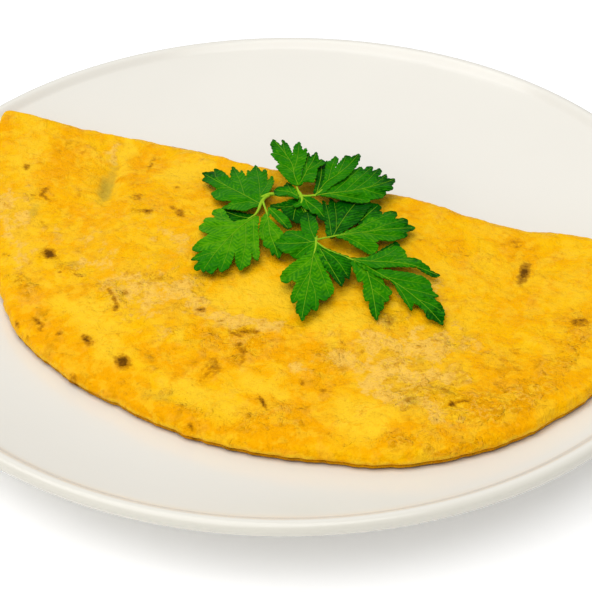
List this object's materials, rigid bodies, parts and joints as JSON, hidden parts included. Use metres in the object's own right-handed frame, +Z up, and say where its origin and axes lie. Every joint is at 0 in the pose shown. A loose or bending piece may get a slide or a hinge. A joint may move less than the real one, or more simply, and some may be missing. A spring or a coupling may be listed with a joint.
{
  "type": "folded omelette on a plate",
  "caption": "Half-moon folded omelette lying across a round coupe plate, with a sprig of flat-leaf parsley on top near the fold.",
  "frame": {"origin": "middle of the plate's foot ring, at the height of the table", "axes": "+Z up; the fold of the omelette runs from the back left (-X, +Y) to the front right (+X, -Y), and its arc faces -Y"},
  "size_m": [0.27, 0.27, 0.0317],
  "materials": {
    "glaze": "glossy cream-white glaze",
    "egg": "moist fried egg skin, yellow with amber browning",
    "parsley": "satin green leaf"
  },
  "bodies": {
    "root": {"plate": "glaze", "omelette": "egg", "parsley_sprig": "parsley"}
  },
  "joints": []
}
